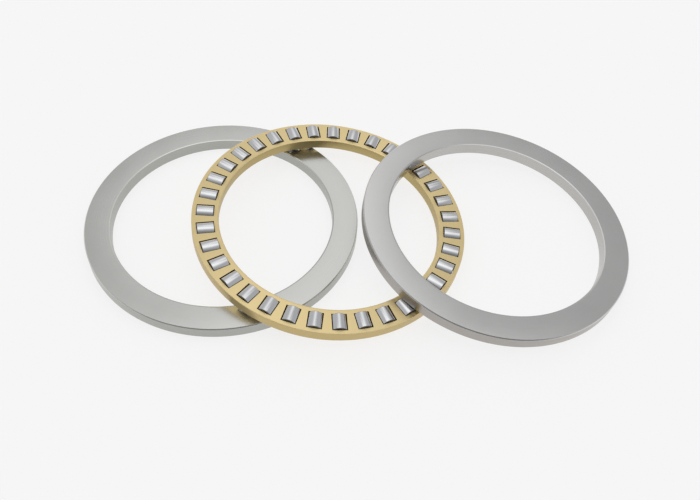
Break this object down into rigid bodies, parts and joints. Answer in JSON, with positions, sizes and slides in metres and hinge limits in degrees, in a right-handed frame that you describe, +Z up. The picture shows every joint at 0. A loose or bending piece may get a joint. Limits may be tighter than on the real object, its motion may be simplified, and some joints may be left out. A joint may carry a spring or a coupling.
{
  "type": "cylindrical roller thrust bearing",
  "caption": "Cylindrical roller thrust bearing fanned out as its pieces: a flat housing washer, a brass cage holding its rollers, and a shaft washer, which roll together.",
  "frame": {"origin": "middle of the underside of the whole fanned-out layout", "axes": "+Z up from the bench, +X from the housing washer past the cage to the shaft washer"},
  "size_m": [0.4018, 0.2064, 0.0294],
  "materials": {
    "washer_steel": "fine-turned and ground bearing steel, satin",
    "roller_steel": "ground bearing steel, smoother than the washers",
    "cage_brass": "machined brass, satin"
  },
  "bodies": {
    "housing_washer": {"housing_washer": "washer_steel"},
    "shaft_washer": {"shaft_washer": "washer_steel"},
    "cage": {"cage": "cage_brass"},
    "roller_01": {"roller_01": "roller_steel"},
    "roller_02": {"roller_02": "roller_steel"},
    "roller_03": {"roller_03": "roller_steel"},
    "roller_04": {"roller_04": "roller_steel"},
    "roller_05": {"roller_05": "roller_steel"},
    "roller_06": {"roller_06": "roller_steel"},
    "roller_07": {"roller_07": "roller_steel"},
    "roller_08": {"roller_08": "roller_steel"},
    "roller_09": {"roller_09": "roller_steel"},
    "roller_10": {"roller_10": "roller_steel"},
    "roller_11": {"roller_11": "roller_steel"},
    "roller_12": {"roller_12": "roller_steel"},
    "roller_13": {"roller_13": "roller_steel"},
    "roller_14": {"roller_14": "roller_steel"},
    "roller_15": {"roller_15": "roller_steel"},
    "roller_16": {"roller_16": "roller_steel"},
    "roller_17": {"roller_17": "roller_steel"},
    "roller_18": {"roller_18": "roller_steel"},
    "roller_19": {"roller_19": "roller_steel"},
    "roller_20": {"roller_20": "roller_steel"},
    "roller_21": {"roller_21": "roller_steel"},
    "roller_22": {"roller_22": "roller_steel"},
    "roller_23": {"roller_23": "roller_steel"},
    "roller_24": {"roller_24": "roller_steel"},
    "roller_25": {"roller_25": "roller_steel"},
    "roller_26": {"roller_26": "roller_steel"},
    "roller_27": {"roller_27": "roller_steel"},
    "roller_28": {"roller_28": "roller_steel"},
    "roller_29": {"roller_29": "roller_steel"},
    "roller_30": {"roller_30": "roller_steel"},
    "roller_31": {"roller_31": "roller_steel"},
    "roller_32": {"roller_32": "roller_steel"},
    "roller_33": {"roller_33": "roller_steel"},
    "roller_34": {"roller_34": "roller_steel"},
    "roller_35": {"roller_35": "roller_steel"}
  },
  "joints": [
    {"name": "shaft_washer_spin", "type": "hinge", "parent": "housing_washer", "child": "shaft_washer", "pos_m": [0.10054, 0.00321, 0.00998], "axis": [0.1002, -0.0096, 0.9949], "continuous": true},
    {"name": "cage_spin", "type": "hinge", "parent": "housing_washer", "child": "cage", "pos_m": [-0.02145, -0.00319, 0.014], "axis": [0.0836, 0, 0.9965], "continuous": true},
    {"name": "roller_01_spin", "type": "hinge", "parent": "cage", "child": "roller_01", "pos_m": [0.06872, -0.0024, 0.00644], "axis": [0.9965, 0.0087, -0.0836], "continuous": true},
    {"name": "roller_02_spin", "type": "hinge", "parent": "cage", "child": "roller_02", "pos_m": [0.06714, 0.01374, 0.00657], "axis": [0.9789, 0.1871, -0.0821], "continuous": true},
    {"name": "roller_03_spin", "type": "hinge", "parent": "cage", "child": "roller_03", "pos_m": [0.0627, 0.02934, 0.00694], "axis": [0.9299, 0.3595, -0.078], "continuous": true},
    {"name": "roller_04_spin", "type": "hinge", "parent": "cage", "child": "roller_04", "pos_m": [0.05556, 0.0439, 0.00754], "axis": [0.851, 0.5204, -0.0714], "continuous": true},
    {"name": "roller_05_spin", "type": "hinge", "parent": "cage", "child": "roller_05", "pos_m": [0.04594, 0.05694, 0.00835], "axis": [0.7447, 0.6645, -0.0625], "continuous": true},
    {"name": "roller_06_spin", "type": "hinge", "parent": "cage", "child": "roller_06", "pos_m": [0.03416, 0.06805, 0.00934], "axis": [0.6145, 0.7872, -0.0515], "continuous": true},
    {"name": "roller_07_spin", "type": "hinge", "parent": "cage", "child": "roller_07", "pos_m": [0.02058, 0.07687, 0.01048], "axis": [0.4645, 0.8847, -0.039], "continuous": true},
    {"name": "roller_08_spin", "type": "hinge", "parent": "cage", "child": "roller_08", "pos_m": [0.00566, 0.08312, 0.01173], "axis": [0.2997, 0.9537, -0.0251], "continuous": true},
    {"name": "roller_09_spin", "type": "hinge", "parent": "cage", "child": "roller_09", "pos_m": [-0.01013, 0.08659, 0.01305], "axis": [0.1251, 0.9921, -0.0105], "continuous": true},
    {"name": "roller_10_spin", "type": "hinge", "parent": "cage", "child": "roller_10", "pos_m": [-0.02629, 0.08718, 0.01441], "axis": [-0.0534, 0.9986, 0.0045], "continuous": true},
    {"name": "roller_11_spin", "type": "hinge", "parent": "cage", "child": "roller_11", "pos_m": [-0.04229, 0.08486, 0.01575], "axis": [-0.2302, 0.9729, 0.0193], "continuous": true},
    {"name": "roller_12_spin", "type": "hinge", "parent": "cage", "child": "roller_12", "pos_m": [-0.05762, 0.07971, 0.01704], "axis": [-0.3996, 0.9161, 0.0335], "continuous": true},
    {"name": "roller_13_spin", "type": "hinge", "parent": "cage", "child": "roller_13", "pos_m": [-0.07179, 0.0719, 0.01823], "axis": [-0.5562, 0.8297, 0.0467], "continuous": true},
    {"name": "roller_14_spin", "type": "hinge", "parent": "cage", "child": "roller_14", "pos_m": [-0.08434, 0.06167, 0.01928], "axis": [-0.6949, 0.7167, 0.0583], "continuous": true},
    {"name": "roller_15_spin", "type": "hinge", "parent": "cage", "child": "roller_15", "pos_m": [-0.09488, 0.04936, 0.02016], "axis": [-0.8113, 0.5807, 0.0681], "continuous": true},
    {"name": "roller_16_spin", "type": "hinge", "parent": "cage", "child": "roller_16", "pos_m": [-0.10305, 0.03536, 0.02085], "axis": [-0.9016, 0.426, 0.0756], "continuous": true},
    {"name": "roller_17_spin", "type": "hinge", "parent": "cage", "child": "roller_17", "pos_m": [-0.10859, 0.02012, 0.02131], "axis": [-0.9629, 0.2576, 0.0808], "continuous": true},
    {"name": "roller_18_spin", "type": "hinge", "parent": "cage", "child": "roller_18", "pos_m": [-0.11134, 0.00413, 0.02154], "axis": [-0.9932, 0.0809, 0.0833], "continuous": true},
    {"name": "roller_19_spin", "type": "hinge", "parent": "cage", "child": "roller_19", "pos_m": [-0.1112, -0.01209, 0.02153], "axis": [-0.9917, -0.0983, 0.0832], "continuous": true},
    {"name": "roller_20_spin", "type": "hinge", "parent": "cage", "child": "roller_20", "pos_m": [-0.10818, -0.02803, 0.02128], "axis": [-0.9582, -0.2744, 0.0804], "continuous": true},
    {"name": "roller_21_spin", "type": "hinge", "parent": "cage", "child": "roller_21", "pos_m": [-0.10236, -0.04317, 0.02079], "axis": [-0.894, -0.4417, 0.075], "continuous": true},
    {"name": "roller_22_spin", "type": "hinge", "parent": "cage", "child": "roller_22", "pos_m": [-0.09395, -0.05703, 0.02008], "axis": [-0.801, -0.5948, 0.0672], "continuous": true},
    {"name": "roller_23_spin", "type": "hinge", "parent": "cage", "child": "roller_23", "pos_m": [-0.08321, -0.06915, 0.01918], "axis": [-0.6823, -0.7288, 0.0572], "continuous": true},
    {"name": "roller_24_spin", "type": "hinge", "parent": "cage", "child": "roller_24", "pos_m": [-0.07048, -0.07916, 0.01812], "axis": [-0.5417, -0.8393, 0.0454], "continuous": true},
    {"name": "roller_25_spin", "type": "hinge", "parent": "cage", "child": "roller_25", "pos_m": [-0.05617, -0.08672, 0.01692], "axis": [-0.3836, -0.9229, 0.0322], "continuous": true},
    {"name": "roller_26_spin", "type": "hinge", "parent": "cage", "child": "roller_26", "pos_m": [-0.04075, -0.0916, 0.01562], "axis": [-0.2133, -0.9768, 0.0179], "continuous": true},
    {"name": "roller_27_spin", "type": "hinge", "parent": "cage", "child": "roller_27", "pos_m": [-0.02472, -0.09363, 0.01428], "axis": [-0.036, -0.9993, 0.003], "continuous": true},
    {"name": "roller_28_spin", "type": "hinge", "parent": "cage", "child": "roller_28", "pos_m": [-0.00857, -0.09277, 0.01292], "axis": [0.1424, -0.9897, -0.0119], "continuous": true},
    {"name": "roller_29_spin", "type": "hinge", "parent": "cage", "child": "roller_29", "pos_m": [0.00716, -0.08902, 0.0116], "axis": [0.3162, -0.9483, -0.0265], "continuous": true},
    {"name": "roller_30_spin", "type": "hinge", "parent": "cage", "child": "roller_30", "pos_m": [0.02197, -0.08251, 0.01036], "axis": [0.4798, -0.8764, -0.0403], "continuous": true},
    {"name": "roller_31_spin", "type": "hinge", "parent": "cage", "child": "roller_31", "pos_m": [0.03539, -0.07346, 0.00924], "axis": [0.6281, -0.7764, -0.0527], "continuous": true},
    {"name": "roller_32_spin", "type": "hinge", "parent": "cage", "child": "roller_32", "pos_m": [0.04698, -0.06214, 0.00826], "axis": [0.7561, -0.6513, -0.0634], "continuous": true},
    {"name": "roller_33_spin", "type": "hinge", "parent": "cage", "child": "roller_33", "pos_m": [0.05636, -0.04893, 0.00748], "axis": [0.8599, -0.5054, -0.0721], "continuous": true},
    {"name": "roller_34_spin", "type": "hinge", "parent": "cage", "child": "roller_34", "pos_m": [0.06325, -0.03425, 0.0069], "axis": [0.936, -0.3432, -0.0785], "continuous": true},
    {"name": "roller_35_spin", "type": "hinge", "parent": "cage", "child": "roller_35", "pos_m": [0.06742, -0.01858, 0.00655], "axis": [0.982, -0.17, -0.0824], "continuous": true}
  ],
  "couplings": [
    {"joint": "cage_spin", "follows": "shaft_washer_spin", "ratio": 0.5},
    {"joint": "roller_01_spin", "follows": "shaft_washer_spin", "ratio": -7.5417},
    {"joint": "roller_02_spin", "follows": "shaft_washer_spin", "ratio": -7.5417},
    {"joint": "roller_03_spin", "follows": "shaft_washer_spin", "ratio": -7.5417},
    {"joint": "roller_04_spin", "follows": "shaft_washer_spin", "ratio": -7.5417},
    {"joint": "roller_05_spin", "follows": "shaft_washer_spin", "ratio": -7.5417},
    {"joint": "roller_06_spin", "follows": "shaft_washer_spin", "ratio": -7.5417},
    {"joint": "roller_07_spin", "follows": "shaft_washer_spin", "ratio": -7.5417},
    {"joint": "roller_08_spin", "follows": "shaft_washer_spin", "ratio": -7.5417},
    {"joint": "roller_09_spin", "follows": "shaft_washer_spin", "ratio": -7.5417},
    {"joint": "roller_10_spin", "follows": "shaft_washer_spin", "ratio": -7.5417},
    {"joint": "roller_11_spin", "follows": "shaft_washer_spin", "ratio": -7.5417},
    {"joint": "roller_12_spin", "follows": "shaft_washer_spin", "ratio": -7.5417},
    {"joint": "roller_13_spin", "follows": "shaft_washer_spin", "ratio": -7.5417},
    {"joint": "roller_14_spin", "follows": "shaft_washer_spin", "ratio": -7.5417},
    {"joint": "roller_15_spin", "follows": "shaft_washer_spin", "ratio": -7.5417},
    {"joint": "roller_16_spin", "follows": "shaft_washer_spin", "ratio": -7.5417},
    {"joint": "roller_17_spin", "follows": "shaft_washer_spin", "ratio": -7.5417},
    {"joint": "roller_18_spin", "follows": "shaft_washer_spin", "ratio": -7.5417},
    {"joint": "roller_19_spin", "follows": "shaft_washer_spin", "ratio": -7.5417},
    {"joint": "roller_20_spin", "follows": "shaft_washer_spin", "ratio": -7.5417},
    {"joint": "roller_21_spin", "follows": "shaft_washer_spin", "ratio": -7.5417},
    {"joint": "roller_22_spin", "follows": "shaft_washer_spin", "ratio": -7.5417},
    {"joint": "roller_23_spin", "follows": "shaft_washer_spin", "ratio": -7.5417},
    {"joint": "roller_24_spin", "follows": "shaft_washer_spin", "ratio": -7.5417},
    {"joint": "roller_25_spin", "follows": "shaft_washer_spin", "ratio": -7.5417},
    {"joint": "roller_26_spin", "follows": "shaft_washer_spin", "ratio": -7.5417},
    {"joint": "roller_27_spin", "follows": "shaft_washer_spin", "ratio": -7.5417},
    {"joint": "roller_28_spin", "follows": "shaft_washer_spin", "ratio": -7.5417},
    {"joint": "roller_29_spin", "follows": "shaft_washer_spin", "ratio": -7.5417},
    {"joint": "roller_30_spin", "follows": "shaft_washer_spin", "ratio": -7.5417},
    {"joint": "roller_31_spin", "follows": "shaft_washer_spin", "ratio": -7.5417},
    {"joint": "roller_32_spin", "follows": "shaft_washer_spin", "ratio": -7.5417},
    {"joint": "roller_33_spin", "follows": "shaft_washer_spin", "ratio": -7.5417},
    {"joint": "roller_34_spin", "follows": "shaft_washer_spin", "ratio": -7.5417},
    {"joint": "roller_35_spin", "follows": "shaft_washer_spin", "ratio": -7.5417}
  ]
}
